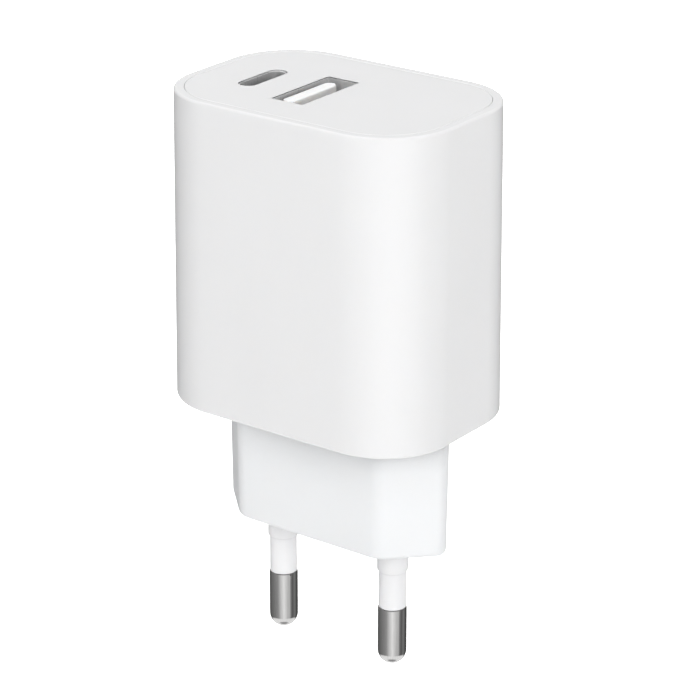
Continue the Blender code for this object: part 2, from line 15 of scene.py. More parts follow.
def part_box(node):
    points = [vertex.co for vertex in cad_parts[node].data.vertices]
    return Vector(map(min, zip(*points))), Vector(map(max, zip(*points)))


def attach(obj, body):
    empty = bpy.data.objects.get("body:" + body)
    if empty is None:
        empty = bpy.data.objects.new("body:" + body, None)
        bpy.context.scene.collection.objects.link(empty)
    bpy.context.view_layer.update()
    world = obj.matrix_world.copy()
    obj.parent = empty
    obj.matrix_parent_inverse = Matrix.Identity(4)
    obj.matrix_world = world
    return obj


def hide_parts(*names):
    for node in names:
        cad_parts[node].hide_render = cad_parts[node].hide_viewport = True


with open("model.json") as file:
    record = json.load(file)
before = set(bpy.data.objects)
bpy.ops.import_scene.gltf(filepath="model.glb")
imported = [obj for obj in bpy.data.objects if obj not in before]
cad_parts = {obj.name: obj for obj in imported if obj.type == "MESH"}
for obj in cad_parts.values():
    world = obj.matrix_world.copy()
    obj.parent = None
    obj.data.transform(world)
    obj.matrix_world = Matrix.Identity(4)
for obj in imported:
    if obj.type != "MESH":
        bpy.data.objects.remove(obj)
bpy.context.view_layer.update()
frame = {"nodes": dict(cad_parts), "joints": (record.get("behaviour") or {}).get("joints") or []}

MM = 0.001
MAIN_BODY = "charger"


def box_mm(node):
    low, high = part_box(node)
    return low / MM, high / MM


# ---------------------------------------------------------------- sizes

SHELL_LOW, SHELL_HIGH = box_mm("main_shell")
PANEL_LOW = box_mm("port_panel")[0]
PLUG_HIGH = box_mm("plug_base")[1]
USB_A_LOW, USB_A_HIGH = box_mm("usb_a_shell")
USB_C_LOW, USB_C_HIGH = box_mm("usb_c_shell")

BOTTOM, TOP = SHELL_LOW.z, SHELL_HIGH.z
CASING_FLARE = 0.28  # how much wider each side is at the bottom
HALF_X, HALF_Y = SHELL_HIGH.x - CASING_FLARE, SHELL_HIGH.y - CASING_FLARE
CASING_CORNER = 10.0
WALL = 2.0
TOP_EDGE, BOTTOM_EDGE = 0.4, 0.45
RIM = 1.4
RIM_EDGE = 0.1
PANEL_GAP = 0.04
PANEL_BOTTOM = TOP - 1.9
SEAT_GAP = 0.15  # under the panel, above the step in the casing's wall
SKIRT_BOTTOM, SKIRT_WALL, SKIRT_PLAY = PANEL_LOW.z, 1.0, 0.15

FLANGE_LIP, FLANGE_HEIGHT = 0.9, 1.5  # the plug's flange, beyond its neck
FLANGE_PLAY = 0.15
NOSE_X, NOSE_Y = PLUG_HIGH.x - FLANGE_LIP, PLUG_HIGH.y - FLANGE_LIP
NOSE_CHAMFER = 6.15
NOSE_FLARE = 0.22
NOSE_WALL = 1.8
NOSE_EDGE = 0.8
CREASE_RADIUS, END_RADIUS = 3.0, 1.6
FACE_THICKNESS = 3.0
SLOT_GAP = 0.06  # round the plug's neck in the casing's floor
BORE_PLAY, BORE_EDGE = 0.07, 0.2  # of the nose's holes round the collars
PIN_RADIUS, CORE_RADIUS, SHANK_RADIUS, HEAD_RADIUS = 2.0, 1.5, 1.1, 2.4
HEAD_HEIGHT = 2.0
SLEEVE_RADIUS, COLLAR_RADIUS, SLEEVE_FLANGE_RADIUS = 1.9, 2.14, 3.2
COLLAR_LENGTH = 4.3
SLEEVE_FLANGE_TOP = FACE_THICKNESS + 1.4
HEAD_GAP, SHOULDER_GAP, CORE_PLAY = 0.15, 0.03, 0.06  # between a pin and its sleeve
PIN_CHAMFER = 0.27
TIP_STEPS = 16

SHEET = 0.3  # the ports' sheet metal
POCKET_PLAY = 0.12  # between the USB-A shell and the pocket that it stands in
USB_A_CORNER = 0.3
SHELL_FOOT = 0.75  # how far the drawn shells' lower ends are above the CAD ones
MOUTH_EDGE = 0.05  # rounding of the panel round each mouth
LIP, LIP_GAP = 0.08, 0.1  # the panel over the shells, and the dark gap under it
GRID_STEP = 2.0  # of the panel's faces
TONGUE_THICKNESS, TONGUE_WIDTH = 1.84, 10.3
TONGUE_INSET = 0.72  # from the shell's inside to the back of the tongue
TONGUE_CUT, TONGUE_TIP, TONGUE_SOFT = 0.62, 0.16, 0.12  # its corner cuts, top edge and upright edges
TONGUE_BASE = 1.9  # thickness of the moulding's base
GROOVE_DEPTH, GROOVE_PLAY, GROOVE_TOP = 1.15, 0.15, 1.5
GROOVE_FOOT = 0.05  # how far a groove goes on below its leaf's root
CONTACT_SHEET = 0.2
CONTACT_NUMBERS = (1, 2, 3, 4)
# A contact leaf's middle line, from its root: (outwards, upwards).
CONTACT_BOW = [(0, 0), (0.35, 2.3), (0.95, 4.45), (1.04, 4.8), (0.95, 5.15), (0.45, 6.0)]
USB_C_OPENING = (2.7, 8.9)  # the panel's own opening over the smaller port
USB_C_RIM = 0.25  # the drawn shell's rolled rim
USB_C_HALF_BLADE = (0.35, 3.34)
USB_C_BLADE_TOP, USB_C_BASE = 1.35, 3.8  # the blade's depth in the mouth, and its base's height
USB_C_PADS, PAD_PITCH, PAD_HALF_WIDTH = 12, 0.5, 0.14
PAD_SUNK, PAD_PROUD, PAD_FOOT, PAD_TOP = 0.05, 0.03, 0.2, 0.9

CORNER_STEPS = 24
EDGE_STEPS = 6
TURN_STEPS = 96
SMOOTH_ANGLE = math.radians(32)

# ---------------------------------------------------------------- mesh tools


def place(name, bm):
    """Puts a finished bmesh, in millimetres, in the scene as an object in metres."""
    bmesh.ops.remove_doubles(bm, verts=bm.verts, dist=1e-4)
    bmesh.ops.recalc_face_normals(bm, faces=bm.faces)
    bmesh.ops.scale(bm, vec=(MM, MM, MM), verts=bm.verts)
    mesh = bpy.data.meshes.new(name)
    bm.to_mesh(mesh)
    bm.free()
    obj = bpy.data.objects.new(name, mesh)
    bpy.context.scene.collection.objects.link(obj)
    return obj


def finish_piece(obj, replaced, body=MAIN_BODY):
    """Smooths a piece, evens its normals, ties it to its body and hides the nodes it stands for."""
    obj.data.shade_smooth()
    obj.data.set_sharp_from_angle(angle=SMOOTH_ANGLE)
    even = obj.modifiers.new("even_normals", "WEIGHTED_NORMAL")
    even.keep_sharp = True
    even.weight = 80
    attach(obj, body)
    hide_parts(*replaced)
    return obj


def loft(bm, rings, closed=False, caps=(False, False)):
    """A skin through rings of equally many points; closed also joins the last ring to the first."""
    loops = [[bm.verts.new(point) for point in ring] for ring in rings]
    following = loops[1:] + loops[:1] if closed else loops[1:]
    for lower, upper in zip(loops, following):
        for i in range(len(lower)):
            j = (i + 1) % len(lower)
            bm.faces.new((lower[i], lower[j], upper[j], upper[i]))
    for wanted, ring in zip(caps, (loops[0], loops[-1])):
        if wanted:
            bm.faces.new(ring)
    return bm


def fillet(start, end, bulge, steps=EDGE_STEPS):
    """Points of a quarter round from start to end; bulge is the corner it rounds off."""
    points = []
    for step in range(steps + 1):
        angle = math.pi / 2 * step / steps
        along, across = 1 - math.cos(angle), 1 - math.sin(angle)
        a = Vector(start) - Vector(bulge)
        b = Vector(end) - Vector(bulge)
        points.append(tuple(Vector(bulge) + a * across + b * along))
    return points


def rounded_ring(half_x, half_y, corner, z, centre=(0, 0), steps=CORNER_STEPS):
    """The points of a rounded rectangle at a height, anticlockwise."""
    points = []
    for quarter in range(4):
        sign_x, sign_y = ((1, 1), (-1, 1), (-1, -1), (1, -1))[quarter]
        for step in range(steps + 1):
            angle = (quarter + step / steps) * math.pi / 2
            x = sign_x * (half_x - corner) + corner * math.cos(angle)
            y = sign_y * (half_y - corner) + corner * math.sin(angle)
            points.append((centre[0] + x, centre[1] + y, z))
    return points


def filleted(corners, radii, z, steps=12):
    """A closed outline whose corners are rounded by the given radii, as points at a height."""
    points = []
    for i, radius in enumerate(radii):
        corner = Vector(corners[i])
        back = (Vector(corners[i - 1]) - corner).normalized()
        ahead = (Vector(corners[(i + 1) % len(corners)]) - corner).normalized()
        half = back.angle(ahead) / 2
        centre = corner + (back + ahead).normalized() * radius / math.sin(half)
        start = corner + back * radius / math.tan(half) - centre
        turn = math.pi - 2 * half
        if back.x * ahead.y - back.y * ahead.x > 0:
            turn = -turn
        for step in range(steps + 1):
            point = centre + Matrix.Rotation(turn * step / steps, 2) @ start
            points.append((point.x, point.y, z))
    return points


def nose_ring(grow, z):
    """The plug's flattened six-sided outline, grown sideways, at a height."""
    x, y = NOSE_X + grow, NOSE_Y + grow
    slope = min(NOSE_CHAMFER + grow * (2 - math.sqrt(2)), y - 0.5)
    corners = [(x - slope, -y), (x, slope - y), (x, y - slope), (x - slope, y)]
    corners += [(-cx, -cy) for cx, cy in corners]
    end = min(END_RADIUS, (y - slope) / math.tan(math.radians(22.5)) * 0.95)
    return filleted(corners, [CREASE_RADIUS, end, end, CREASE_RADIUS] * 2, z)


def bake(obj, *cutters):
    """Applies a piece's modifiers and cuts the cutters out of it, for good."""
    for cutter in cutters:
        modifier = obj.modifiers.new(cutter.name, "BOOLEAN")
        modifier.operation = "DIFFERENCE"
        modifier.solver = "EXACT"
        modifier.object = cutter
    bpy.context.view_layer.update()
    result = bpy.data.meshes.new_from_object(obj.evaluated_get(bpy.context.evaluated_depsgraph_get()))
    obj.modifiers.clear()
    old, obj.data = obj.data, result
    name = old.name
    bpy.data.meshes.remove(old)
    result.name = name
    for cutter in cutters:
        bpy.data.objects.remove(cutter, do_unlink=True)
    return obj


def gridded(obj, step):
    """Cuts a piece's faces along an even grid, so that none is a long sliver."""
    bm = bmesh.new()
    bm.from_mesh(obj.data)
    for axis in (Vector((1, 0, 0)), Vector((0, 1, 0))):
        places = [vert.co.dot(axis) for vert in bm.verts]
        low, high = min(places) / MM, max(places) / MM
        for i in range(math.ceil(low / step), math.ceil(high / step)):
            geometry = list(bm.verts) + list(bm.edges) + list(bm.faces)
            bmesh.ops.bisect_plane(
                bm, geom=geometry, dist=1e-8, plane_co=axis * i * step * MM, plane_no=axis
            )
    bm.to_mesh(obj.data)
    bm.free()


def turned(name, profile, centre_x, ring=False):
    """A profile of (radius, height) points turned about an upright axis."""
    bm = bmesh.new()
    verts = [bm.verts.new((radius, 0, z)) for radius, z in profile]
    pairs = zip(verts, verts[1:] + verts[:1]) if ring else zip(verts, verts[1:])
    for a, b in pairs:
        bm.edges.new((a, b))
    bmesh.ops.spin(
        bm,
        geom=list(bm.verts) + list(bm.edges),
        cent=(0, 0, 0),
        axis=(0, 0, 1),
        angle=2 * math.pi,
        steps=TURN_STEPS,
    )
    bmesh.ops.translate(bm, vec=(centre_x, 0, 0), verts=bm.verts)
    return place(name, bm)


def box_mesh(bm, low, high, edge=0.0, segments=2):
    """Adds a box with rounded edges to a bmesh."""
    low, high = Vector(low), Vector(high)
    made = bmesh.ops.create_cube(bm, size=1.0)["verts"]
    bmesh.ops.scale(bm, vec=high - low, verts=made)
    bmesh.ops.translate(bm, vec=(low + high) / 2, verts=made)
    if edge:
        edges = list({e for v in made for e in v.link_edges})
        bmesh.ops.bevel(
            bm, geom=edges, offset=edge, segments=segments, profile=0.5, affect="EDGES"
        )
    return bm


def boxes(name, spans, edge=0.0, segments=2):
    bm = bmesh.new()
    for low, high in spans:
        piece = box_mesh(bmesh.new(), low, high, edge, segments)
        mesh = bpy.data.meshes.new("part")
        piece.to_mesh(mesh)
        piece.free()
        bm.from_mesh(mesh)
        bpy.data.meshes.remove(mesh)
    return place(name, bm)


# ---------------------------------------------------------------- materials


class Nodes:
    """A small helper for writing a material's node tree."""

    def __init__(self, name):
        self.look = bpy.data.materials.new(name)
        self.look.use_nodes = True
        self.tree = self.look.node_tree
        self.shader = self.tree.nodes["Principled BSDF"]
        self.place = self.add("ShaderNodeTexCoord").outputs["Object"]

    def add(self, kind, **settings):
        node = self.tree.nodes.new(kind)
        for key, value in settings.items():
            setattr(node, key, value)
        return node

    def wire(self, source, target):
        if hasattr(source, "is_linked"):
            self.tree.links.new(source, target)
        else:
            target.default_value = source

    def maths(self, operation, a, b=0.0):
        node = self.add("ShaderNodeMath", operation=operation)
        self.wire(a, node.inputs[0])
        self.wire(b, node.inputs[1])
        return node.outputs[0]

    def stretched(self, scale):
        """Object coordinates in millimetres, multiplied by a scale along each axis."""
        node = self.add("ShaderNodeVectorMath", operation="MULTIPLY")
        self.wire(self.place, node.inputs[0])
        node.inputs[1].default_value = [s / MM for s in scale]
        return node.outputs[0]

    def noise(self, per_mm, detail=3.0, stretch=(1, 1, 1), roughness=0.55):
        """Noise from about 0 to 1 whose cells are 1/per_mm millimetres across."""
        node = self.add("ShaderNodeTexNoise")
        self.wire(self.stretched(stretch), node.inputs["Vector"])
        node.inputs["Scale"].default_value = per_mm
        node.inputs["Detail"].default_value = detail
        node.inputs["Roughness"].default_value = roughness
        return node.outputs["Fac"]

    def cells(self, per_mm, feature="F1", output="Distance", stretch=(1, 1, 1)):
        node = self.add("ShaderNodeTexVoronoi", feature=feature)
        self.wire(self.stretched(stretch), node.inputs["Vector"])
        node.inputs["Scale"].default_value = per_mm
        return node.outputs[output]

    def waves(self, per_mm, direction="X", distortion=0.0):
        node = self.add("ShaderNodeTexWave", bands_direction=direction)
        self.wire(self.stretched((1, 1, 1)), node.inputs["Vector"])
        node.inputs["Scale"].default_value = per_mm
        node.inputs["Distortion"].default_value = distortion
        return node.outputs["Fac"]

    def spread(self, value, low, high, from_low=0.3, from_high=0.7):
        """Maps a value's range to another, held at both ends."""
        node = self.add("ShaderNodeMapRange")
        self.wire(value, node.inputs["Value"])
        node.inputs["From Min"].default_value = from_low
        node.inputs["From Max"].default_value = from_high
        node.inputs["To Min"].default_value = low
        node.inputs["To Max"].default_value = high
        return node.outputs["Result"]

    def mix(self, share, a, b):
        node = self.add("ShaderNodeMix", data_type="RGBA")
        self.wire(share, node.inputs[0])
        for colour, target in ((a, node.inputs[6]), (b, node.inputs[7])):
            self.wire(colour if hasattr(colour, "is_linked") else (*colour, 1.0), target)
        return node.outputs[2]

    def edge_wear(self, low=0.505, high=0.56):
        """How far a point is out on an edge, from 0 to 1."""
        return self.spread(self.add("ShaderNodeNewGeometry").outputs["Pointiness"], 0, 1, low, high)

    def bump(self, height, depth_mm, strength=1.0, under=None):
        node = self.add("ShaderNodeBump")
        self.wire(height, node.inputs["Height"])
        node.inputs["Distance"].default_value = depth_mm * MM
        node.inputs["Strength"].default_value = strength
        if under is not None:
            self.wire(under, node.inputs["Normal"])
        return node.outputs["Normal"]

    def with_painted_shade(self, tone, share, reach, low=0.65, high=0.97):
        """Paints shade into a tone where other surfaces stand within reach, in millimetres: a painted
        contact shadow, darkest deep in hollows and right under overhangs.
        """
        hollow = self.add("ShaderNodeAmbientOcclusion", samples=8)
        hollow.inputs["Distance"].default_value = reach * MM
        # the share of painted shade, from how closed in a point is
        depth = self.maths("POWER", self.spread(hollow.outputs["AO"], 1.0, 0.0, low, high), 1.6)
        return self.mix(self.maths("MULTIPLY", depth, share), tone, (0, 0, 0))

    def output(self, colour, roughness, metallic=0.0, normal=None, **more):
        inputs = self.shader.inputs
        self.wire(colour if hasattr(colour, "is_linked") else (*colour, 1.0), inputs["Base Color"])
        self.wire(roughness, inputs["Roughness"])
        inputs["Metallic"].default_value = metallic
        if normal is not None:
            self.wire(normal, inputs["Normal"])
        for key, value in more.items():
            inputs[key.replace("_", " ").title().replace("Ior", "IOR")].default_value = value
        return self.look


def tinted(colour, factor):
    return tuple(channel * factor for channel in colour)


def moulded(
    name, colour, roughness=0.4, grain=0.003, subsurface=0.0, specular=0.5, painted_shade=0.0, reach=3.0,
    vary=0.015,
):
    """Injection-moulded plastic: a fine grain, soft flow marks, polished edges and painted shade in its
    recesses and under overhangs.
    """
    n = Nodes(name)
    flow = n.noise(0.09, 2.0, (1, 1, 0.45))
    speck = n.noise(1.3, 4.0)
    tone = n.mix(n.spread(flow, 0, 1), tinted(colour, 0.992), tinted(colour, 1.006))
    tone = n.mix(n.spread(speck, 0.0, 0.1), tone, tinted(colour, 0.96))
    worn = n.edge_wear()
    tone = n.mix(n.maths("MULTIPLY", worn, 0.25), tone, tinted(colour, 1.05))
    # painted shade: the tone is darkened where the part is closed in, standing in for shadow
    if painted_shade:
        tone = n.with_painted_shade(tone, painted_shade, reach)
    rough = n.spread(n.noise(0.15, 1.0), roughness - vary, roughness + vary)
    rough = n.maths("SUBTRACT", rough, n.maths("MULTIPLY", worn, 0.06))
    normal = n.bump(n.noise(7.0, 3.0), grain)
    look = n.output(tone, rough, normal=normal, ior=1.46)
    inputs = n.shader.inputs
    inputs["Specular IOR Level"].default_value = specular
    if subsurface:
        inputs["Subsurface Weight"].default_value = subsurface
        inputs["Subsurface Radius"].default_value = (1.0, 0.9, 0.8)
        inputs["Subsurface Scale"].default_value = 0.4 * MM
    return look


def brushed(name, colour, roughness, along, scratch=0.0012, metallic=1.0, painted_shade=0.0):
    """Plated or drawn metal: fine lines along an axis, a few scratches, brighter edges and painted shade
    deeper in its hollows.
    """
    stretch = {"X": (0.06, 1, 1), "Y": (1, 0.06, 1), "Z": (1, 1, 0.06)}[along]
    n = Nodes(name)
    lines = n.noise(6.0, 5.0, stretch, 0.65)
    blotch = n.noise(0.6, 3.0)
    tone = n.mix(n.spread(lines, 0, 1), tinted(colour, 0.92), tinted(colour, 1.06))
    tone = n.mix(n.spread(blotch, 0, 0.2), tone, tinted(colour, 0.85))
    worn = n.edge_wear()
    tone = n.mix(n.maths("MULTIPLY", worn, 0.5), tone, tinted(colour, 1.2))
    # painted shade: darker where the metal is closed in, deeper down in a port
    if painted_shade:
        tone = n.with_painted_shade(tone, painted_shade, 1.5, 0.15, 0.8)
    rough = n.spread(lines, roughness * 0.75, roughness * 1.3)
    rough = n.maths("ADD", rough, n.spread(blotch, 0.0, roughness * 0.25))
    nicks = n.spread(n.cells(1.4, "DISTANCE_TO_EDGE", stretch=(1, 1, 0.3)), 0, 1, 0.0, 0.03)
    normal = n.bump(lines, scratch)
    normal = n.bump(nicks, scratch * 1.5, 0.5, under=normal)
    return n.output(tone, rough, metallic, normal)


def board(name):
    """Solder-masked glass board: the weave shows faintly, with darker and lighter copper fields."""
    n = Nodes(name)
    weave = n.maths("MULTIPLY", n.waves(1.6, "X"), n.waves(1.6, "Z"))
    fields = n.cells(0.35, output="Color")
    tone = n.mix(n.spread(fields, 0, 0.7, 0, 1), (0.035, 0.19, 0.075), (0.02, 0.12, 0.05))
    tone = n.mix(n.spread(weave, 0, 0.25, 0, 1), tone, (0.06, 0.26, 0.11))
    return n.output(tone, n.spread(weave, 0.38, 0.5, 0, 1), normal=n.bump(weave, 0.01))


def speckled(name, colour, speck, roughness, per_mm=3.0, depth=0.01):
    """A sintered or cast body with grains of another tone."""
    n = Nodes(name)
    grains = n.cells(per_mm)
    tone = n.mix(n.spread(grains, 0, 1, 0.1, 0.6), tinted(colour, 1.0), speck)
    worn = n.edge_wear()
    tone = n.mix(n.maths("MULTIPLY", worn, 0.4), tone, tinted(speck, 1.3))
    rough = n.spread(n.noise(per_mm), roughness - 0.08, roughness + 0.08)
    return n.output(tone, rough, normal=n.bump(n.noise(per_mm * 2, 4.0), depth))


def wound(name):
    """Enamelled copper turns side by side."""
    n = Nodes(name)
    turns = n.waves(1.1, "X", 0.4)
    tone = n.mix(n.spread(turns, 0, 1, 0, 1), (0.22, 0.06, 0.02), (0.72, 0.30, 0.12))
    return n.output(tone, n.spread(turns, 0.5, 0.3, 0, 1), 1.0, n.bump(turns, 0.06))


def film(name, colour, roughness):
    """Thin sheet or tape, with faint creases and a slightly uneven gloss."""
    n = Nodes(name)
    creases = n.noise(0.4, 3.0, (1, 0.3, 1))
    tone = n.mix(n.spread(creases, 0, 1), tinted(colour, 0.9), tinted(colour, 1.08))
    rough = n.spread(n.noise(2.0), roughness - 0.08, roughness + 0.08)
    return n.output(tone, rough, normal=n.bump(creases, 0.03))


def dipped(name, colour, roughness):
    """A glossy dipped coat with sags and pinholes."""
    n = Nodes(name)
    sags = n.noise(0.5, 2.0)
    pits = n.spread(n.cells(1.8), 0, 1, 0.0, 0.12)
    tone = n.mix(n.spread(sags, 0, 1), tinted(colour, 0.85), tinted(colour, 1.15))
    normal = n.bump(pits, 0.02, under=n.bump(sags, 0.08))
    return n.output(tone, n.spread(sags, roughness - 0.05, roughness + 0.08), normal=normal)


LOOKS = {
    "casing_white": moulded("casing_white", (0.80, 0.80, 0.805), 0.27, 0.0002, 0.1, 0.65, vary=0.003),
    # plug_white: 0.8 of painted shade within 6 mm, a painted shadow under the casing's overhang
    "plug_white": moulded("plug_white", (0.84, 0.85, 0.86), 0.30, 0.0004, 0.1, 0.6, 0.8, 6.0, 0.005),
    # sleeve_white: 0.3 of painted shade, a painted shadow at the collars under the nose
    "sleeve_white": moulded("sleeve_white", (0.875, 0.873, 0.88), 0.38, 0.0004, 0.1, 0.5, 0.3, vary=0.005),
    "tongue_white": moulded("tongue_white", (0.93, 0.93, 0.93), 0.35, 0.0004, 0.5),
    "dark_plastic": moulded("dark_plastic", (0.03, 0.03, 0.032), 0.45, 0.004),
    "chip_black": moulded("chip_black", (0.02, 0.02, 0.021), 0.62, 0.008),
    "seal_rubber": moulded("seal_rubber", (0.03, 0.03, 0.03), 0.8, 0.01),
    "pin_nickel": brushed("pin_nickel", (0.62, 0.615, 0.61), 0.07, "Z", 0.00015),
    # shell_steel: 0.75 of painted shade, darker deeper down inside the ports
    "shell_steel": brushed("shell_steel", (0.74, 0.74, 0.745), 0.3, "Z", 0.0006, 0.6, 0.75),
    "contact_gold": brushed("contact_gold", (0.84, 0.62, 0.27), 0.26, "Z", 0.0008),
    "terminal_brass": brushed("terminal_brass", (0.70, 0.52, 0.25), 0.35, "Z"),
    "can_aluminium": brushed("can_aluminium", (0.62, 0.62, 0.63), 0.38, "Y"),
    "spreader_aluminium": brushed("spreader_aluminium", (0.68, 0.68, 0.69), 0.42, "X"),
    "board_green": board("board_green"),
    "ferrite": speckled("ferrite", (0.05, 0.05, 0.055), (0.10, 0.10, 0.105), 0.68),
    "fuse_ceramic": speckled("fuse_ceramic", (0.72, 0.69, 0.62), (0.60, 0.57, 0.50), 0.55, 2.0),
    "pad_grey": speckled("pad_grey", (0.36, 0.38, 0.41), (0.46, 0.48, 0.51), 0.85, 4.0, 0.03),
    "copper": wound("copper"),
    "tape_yellow": film("tape_yellow", (0.80, 0.56, 0.05), 0.45),
    "insulation_film": film("insulation_film", (0.70, 0.66, 0.50), 0.45),
    "disc_blue": dipped("disc_blue", (0.03, 0.10, 0.42), 0.35),
    "disc_green": dipped("disc_green", (0.04, 0.22, 0.12), 0.35),
}

for node in frame["nodes"].values():
    for material_slot in node.material_slots:
        material_slot.material = LOOKS[material_slot.material.name.split(".")[0]]


def show(obj, slot, replaced, body=MAIN_BODY):
    obj.data.materials.clear()
    obj.data.materials.append(LOOKS[slot])
    return finish_piece(obj, replaced, body)


# ---------------------------------------------------------------- casing


def casing_ring(inset, z):
    """The casing's outline at a height, which widens a little towards the bottom."""
    flare = CASING_FLARE * (TOP - z) / (TOP - BOTTOM)
    return rounded_ring(HALF_X + flare - inset, HALF_Y + flare - inset, CASING_CORNER - inset, z)


def upright_ring(inset, z):
    return rounded_ring(HALF_X - inset, HALF_Y - inset, CASING_CORNER - inset, z)


def casing():
    """One thin-walled tub: floor, wall with a rounded foot, and a thinner rim round the panel."""
    seat = PANEL_BOTTOM - SEAT_GAP
    outside = fillet((BOTTOM_EDGE, BOTTOM), (0, BOTTOM + BOTTOM_EDGE), (0, BOTTOM))
    outside += fillet((0, TOP - TOP_EDGE), (TOP_EDGE, TOP), (0, TOP))
    rings = [casing_ring(inset, z) for inset, z in outside]
    inside = fillet((RIM - RIM_EDGE, TOP), (RIM, TOP - RIM_EDGE), (RIM, TOP), 4)
    rings += [upright_ring(inset, z) for inset, z in inside + [(RIM, seat), (WALL, seat)]]
    rings.append(upright_ring(WALL, BOTTOM + WALL))
    tub = place("casing", loft(bmesh.new(), rings, caps=(True, True)))
    slot = [nose_ring(NOSE_FLARE + SLOT_GAP, z) for z in (BOTTOM - 2, BOTTOM + WALL + 1)]
    bake(tub, place("slot", loft(bmesh.new(), slot, caps=(True, True))))
    return show(tub, "casing_white", ["main_shell"])


def mouth_cutter(name, half_x, half_y, corner, centre):
    """A cutter for a port's mouth, which also rounds the panel round it."""
    path = [(0, PANEL_BOTTOM - 1)]
    path += fillet((0, TOP - MOUTH_EDGE), (MOUTH_EDGE, TOP + 0.002), (0, TOP + 0.002))
    path.append((MOUTH_EDGE + 0.3, TOP + 0.5))
    rings = [
        rounded_ring(half_x + out, half_y + out, corner + out, z, centre, 12) for out, z in path
    ]
    return place(name, loft(bmesh.new(), rings, caps=(True, True)))


def port(low, high):
    """The middle of a port and half the size of its mouth, from the box of its shell."""
    centre = ((low.x + high.x) / 2, (low.y + high.y) / 2)
    return centre, ((high.x - low.x) / 2 - SHEET, (high.y - low.y) / 2 - SHEET)


USB_A_AT, USB_A_HALF = port(USB_A_LOW, USB_A_HIGH)
USB_C_AT, USB_C_HALF = port(USB_C_LOW, USB_C_HIGH)


def usb_c_ring(out, z, steps=16):
    half_x, half_y = USB_C_HALF[0] + out, USB_C_HALF[1] + out
    return rounded_ring(half_x, half_y, half_x - 0.01, z, USB_C_AT, steps)


def panel():
    """The port panel, with its skirt and the two rounded mouths."""
    grip, inset = WALL + SKIRT_PLAY, RIM + PANEL_GAP
    hollow = grip + SKIRT_WALL
    path = [(hollow, PANEL_BOTTOM), (hollow, SKIRT_BOTTOM), (grip, SKIRT_BOTTOM)]
    path += [(grip, PANEL_BOTTOM), (inset, PANEL_BOTTOM)]
    path += fillet((inset, TOP - RIM_EDGE), (inset + RIM_EDGE, TOP), (inset, TOP), 4)
    rings = [upright_ring(inset, z) for inset, z in path]
    plate = place("port_panel_top", loft(bmesh.new(), rings, caps=(True, True)))
    margin = SHEET + POCKET_PLAY
    pocket = [
        rounded_ring(USB_A_HALF[0] + margin, USB_A_HALF[1] + margin, 0.5, z, USB_A_AT, 4)
        for z in (PANEL_BOTTOM - 1, TOP - LIP)
    ]
    ring_x, ring_y = (side / 2 for side in USB_C_OPENING)
    pocket_c = [usb_c_ring(USB_C_RIM + 0.1, z) for z in (PANEL_BOTTOM - 1, TOP - LIP)]
    bake(
        plate,
        mouth_cutter("mouth_a", *USB_A_HALF, USB_A_CORNER, USB_A_AT),
        mouth_cutter("mouth_c", ring_x, ring_y, ring_x - 0.01, USB_C_AT),
        place("pocket_a", loft(bmesh.new(), pocket, caps=(True, True))),
        place("pocket_c", loft(bmesh.new(), pocket_c, caps=(True, True))),
    )
    gridded(plate, GRID_STEP)
    return show(plate, "casing_white", ["port_panel"])


# ---------------------------------------------------------------- plug


def nose():
    """The hollow six-sided nose, its neck through the casing's floor, and its flange."""
    flange = BOTTOM + WALL + FLANGE_PLAY

    def at(grow, z):
        return nose_ring(grow + NOSE_FLARE * min(z, BOTTOM) / BOTTOM, z)

    path = fillet((-NOSE_EDGE, 0), (0, NOSE_EDGE), (0, 0), 8)
    path += [(0, BOTTOM), (0, flange), (FLANGE_LIP - NOSE_FLARE, flange)]
    flange_top = flange + FLANGE_HEIGHT
    path += [(FLANGE_LIP - NOSE_FLARE, flange_top), (-NOSE_WALL - NOSE_FLARE, flange_top)]
    path.append((-NOSE_WALL, FACE_THICKNESS))
    rings = [at(grow, z) for grow, z in path]
    base = place("plug_nose", loft(bmesh.new(), rings, caps=(True, True)))
    bores = []
    for side, name in ((-1, "left"), (1, "right")):
        bore = COLLAR_RADIUS + BORE_PLAY
        profile = [(0, 4), (bore, 4), (bore, BORE_EDGE), (bore + 0.05, 0.06)]
        profile.append((bore + BORE_EDGE, -0.002))
        profile += [(bore + 0.25, -1), (0, -1)]
        bores.append(turned(f"bore_{name}", profile, side * PIN_X))
    bake(base, *bores)
    return show(base, "plug_white", ["plug_base"])


LEFT_LOW, LEFT_HIGH = box_mm("pin_left")
PIN_X = -(LEFT_LOW.x + LEFT_HIGH.x) / 2
PIN_TIP, PIN_TOP = LEFT_LOW.z, LEFT_HIGH.z
SLEEVE_END = box_mm("pin_sleeve_left")[0].z


def pin(side, name):
    """A machined pin: rivet shank, head, core inside the sleeve, chamfered shoulder, round nose."""
    head, soft = SLEEVE_FLANGE_TOP + HEAD_GAP, 0.1
    shoulder = SLEEVE_END - SHOULDER_GAP
    step = (PIN_RADIUS - SLEEVE_RADIUS) * 0.8
    profile = [(0, PIN_TOP), (SHANK_RADIUS - soft, PIN_TOP), (SHANK_RADIUS, PIN_TOP - soft)]
    profile += [(SHANK_RADIUS, head + HEAD_HEIGHT), (HEAD_RADIUS, head + HEAD_HEIGHT)]
    profile += [(HEAD_RADIUS, head), (CORE_RADIUS, head)]
    profile += [(CORE_RADIUS, shoulder), (PIN_RADIUS - step, shoulder)]
    profile += [(PIN_RADIUS, shoulder - PIN_CHAMFER)]
    for i in range(TIP_STEPS + 1):
        angle = math.pi / 2 * i / TIP_STEPS
        profile.append((PIN_RADIUS * math.cos(angle), PIN_TIP + PIN_RADIUS * (1 - math.sin(angle))))
    made = turned(f"pin_{name}_metal", profile, side * PIN_X)
    return show(made, "pin_nickel", [f"pin_{name}"])


